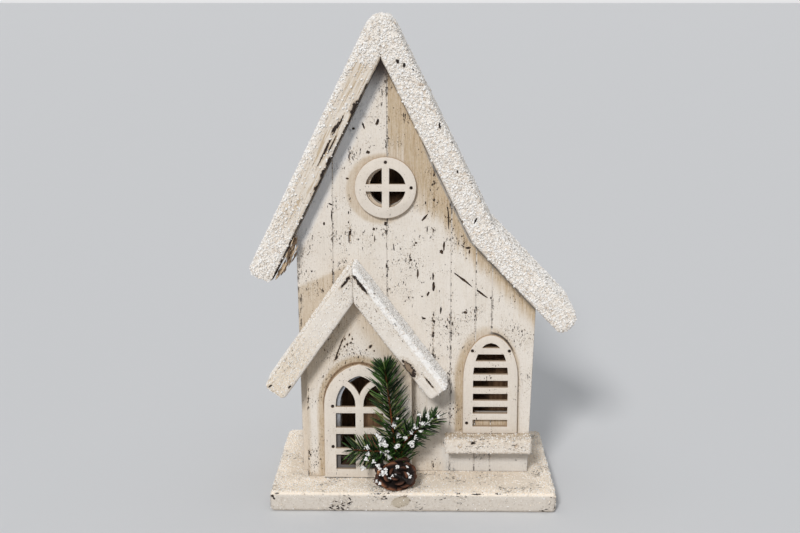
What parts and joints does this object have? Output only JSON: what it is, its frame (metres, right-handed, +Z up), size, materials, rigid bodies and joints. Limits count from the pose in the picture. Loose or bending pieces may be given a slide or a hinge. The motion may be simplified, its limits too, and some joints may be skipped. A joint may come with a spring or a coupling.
{
  "type": "decorative wooden chapel",
  "caption": "Crooked wooden Christmas chapel with a swept snowy roof, gabled porch, fretted window plates and a pine sprig with a cone, on a flat board.",
  "frame": {"origin": "centre of the base board's flat underside", "axes": "+Z up; the front with its door and windows faces -Y; +X is to the right when looking at the front"},
  "size_m": [0.2356, 0.138, 0.3544],
  "materials": {
    "painted_wood": "matt antique cream-white paint, worn and speckled",
    "snowy_wood": "matt white paint with coarse snow grit",
    "bare_wood": "unpainted softwood",
    "steel": "darkened steel wire",
    "pine_green": "dark green needles",
    "cone_brown": "dry cone scales",
    "clear_glue": "set hot glue"
  },
  "bodies": {
    "root": {"back_wall": "painted_wood", "base_board": "snowy_wood", "base_screw_back_left": "steel", "base_screw_back_right": "steel", "base_screw_front_left": "steel", "base_screw_front_right": "steel", "door_brad_1": "steel", "door_brad_2": "steel", "door_tracery": "painted_wood", "front_wall": "painted_wood", "glue_block_back_left": "bare_wood", "glue_block_back_right": "bare_wood", "glue_block_front_left": "bare_wood", "glue_block_front_right": "bare_wood", "glue_pad": "clear_glue", "left_wall": "painted_wood", "louvre_brad_1": "steel", "louvre_brad_2": "steel", "louvre_brad_3": "steel", "louvre_window": "painted_wood", "main_roof_eave_board": "snowy_wood", "main_roof_left_board": "snowy_wood", "main_roof_right_board": "snowy_wood", "pine_cone": "cone_brown", "porch_front": "painted_wood", "porch_nail_left": "steel", "porch_nail_right": "steel", "porch_roof_left_board": "snowy_wood", "porch_roof_right_board": "snowy_wood", "right_wall": "painted_wood", "roof_nail_eave_back": "steel", "roof_nail_eave_front": "steel", "roof_nail_left_back": "steel", "roof_nail_left_front": "steel", "roof_nail_right_back": "steel", "roof_nail_right_front": "steel", "round_window": "painted_wood", "round_window_brad_1": "steel", "round_window_brad_2": "steel", "sill_nail_1": "steel", "sill_nail_2": "steel", "sprig_left_branch": "pine_green", "sprig_main_branch": "pine_green", "sprig_right_branch": "pine_green", "window_sill": "snowy_wood"}
  },
  "joints": []
}
